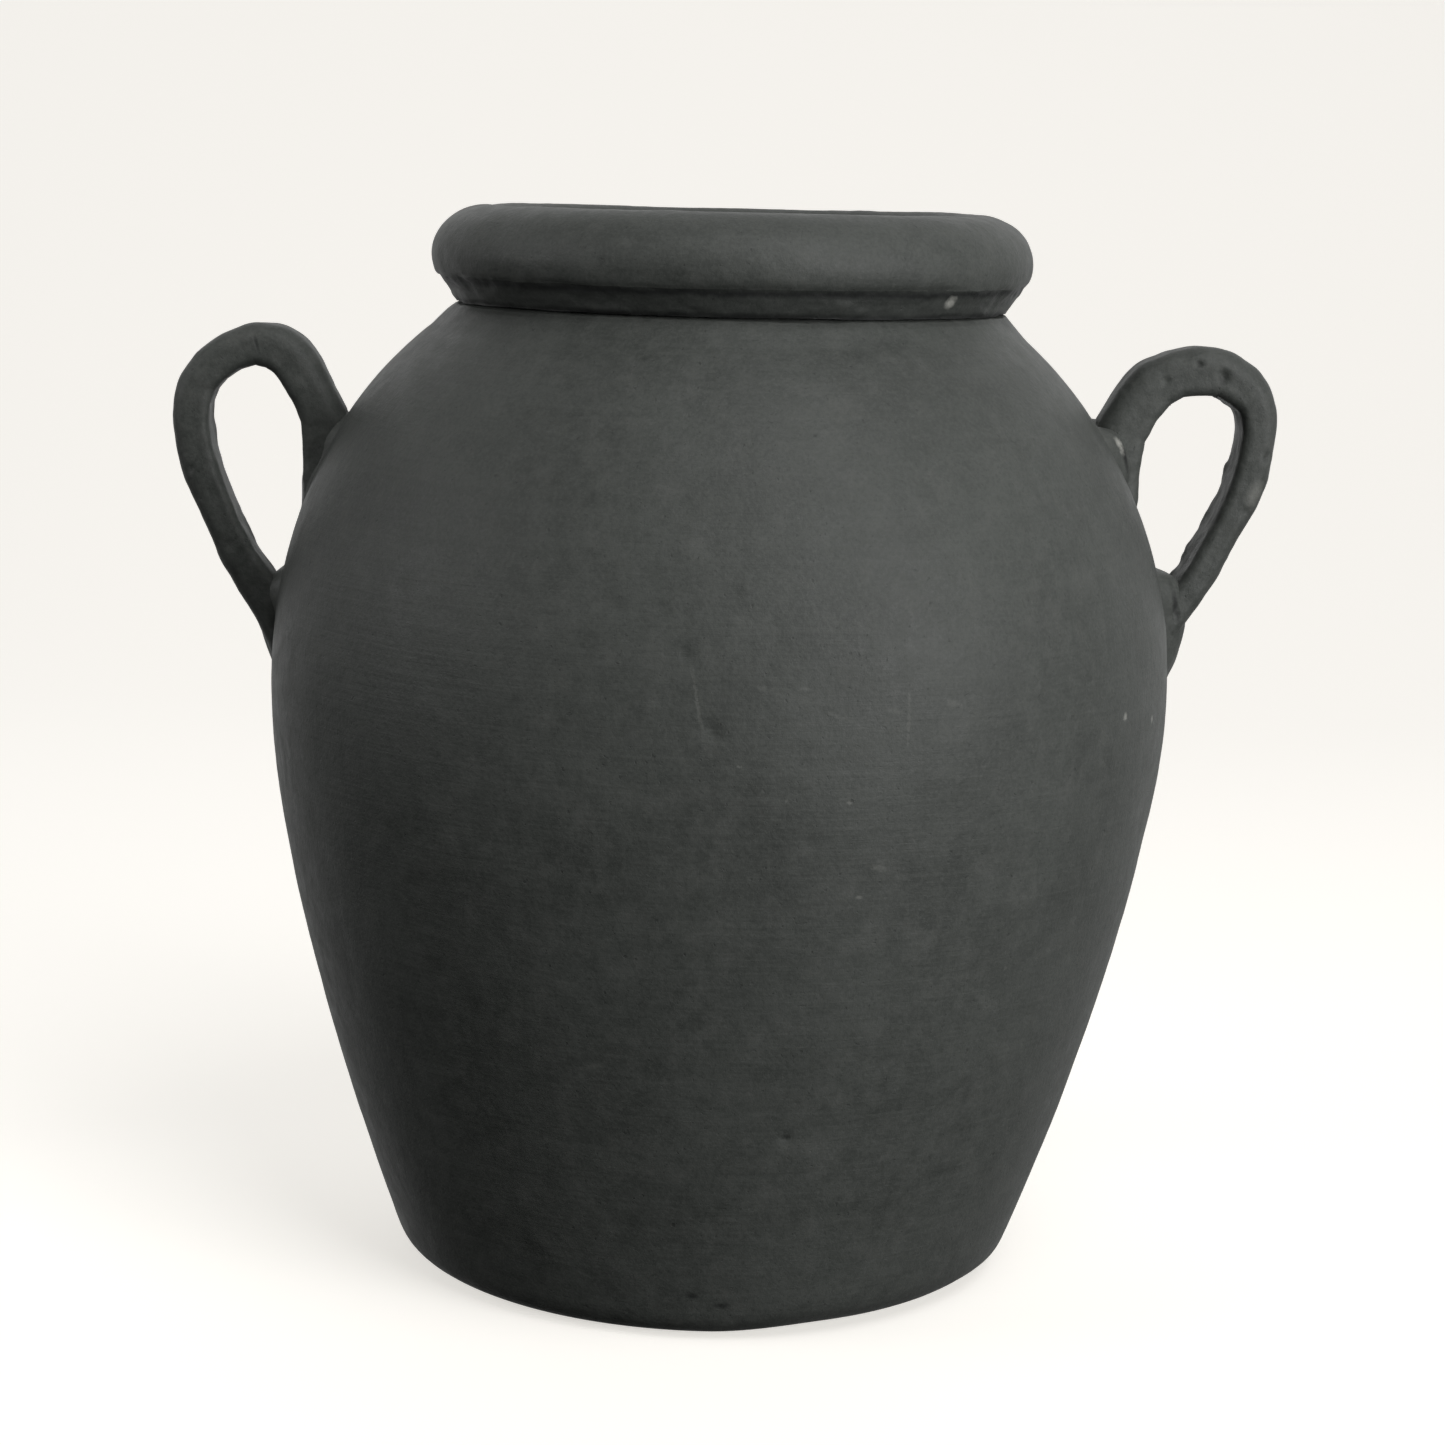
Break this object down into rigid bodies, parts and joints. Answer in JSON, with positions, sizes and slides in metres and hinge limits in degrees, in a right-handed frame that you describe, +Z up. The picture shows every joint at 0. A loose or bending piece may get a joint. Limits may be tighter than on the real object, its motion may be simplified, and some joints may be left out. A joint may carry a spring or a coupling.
{
  "type": "black clay pot",
  "caption": "Matte black clay storage pot with a rounded belly, a short neck, a rolled rim and a looped strap handle on each shoulder.",
  "frame": {"origin": "centre of the flat foot, on the surface the pot stands on, on the axis of the body", "axes": "+Z up along the axis of the body; the handles lie on +X and -X; -Y is the front"},
  "size_m": [0.3172, 0.2588, 0.305],
  "materials": {
    "clay_walls": "matte black fired clay, unglazed, wiped surface with fine grain",
    "clay_rim": "matte black fired clay, smoothed by hand",
    "clay_handles": "matte black fired clay, lumpy and pitted, hand pulled"
  },
  "bodies": {
    "root": {"base_disc": "clay_walls", "lower_wall": "clay_walls", "shoulder_wall": "clay_walls", "neck_collar": "clay_rim", "rim_roll": "clay_rim", "left_handle": "clay_handles", "left_handle_upper_wad": "clay_handles", "left_handle_lower_wad": "clay_handles", "right_handle": "clay_handles", "right_handle_upper_wad": "clay_handles", "right_handle_lower_wad": "clay_handles"}
  },
  "joints": []
}
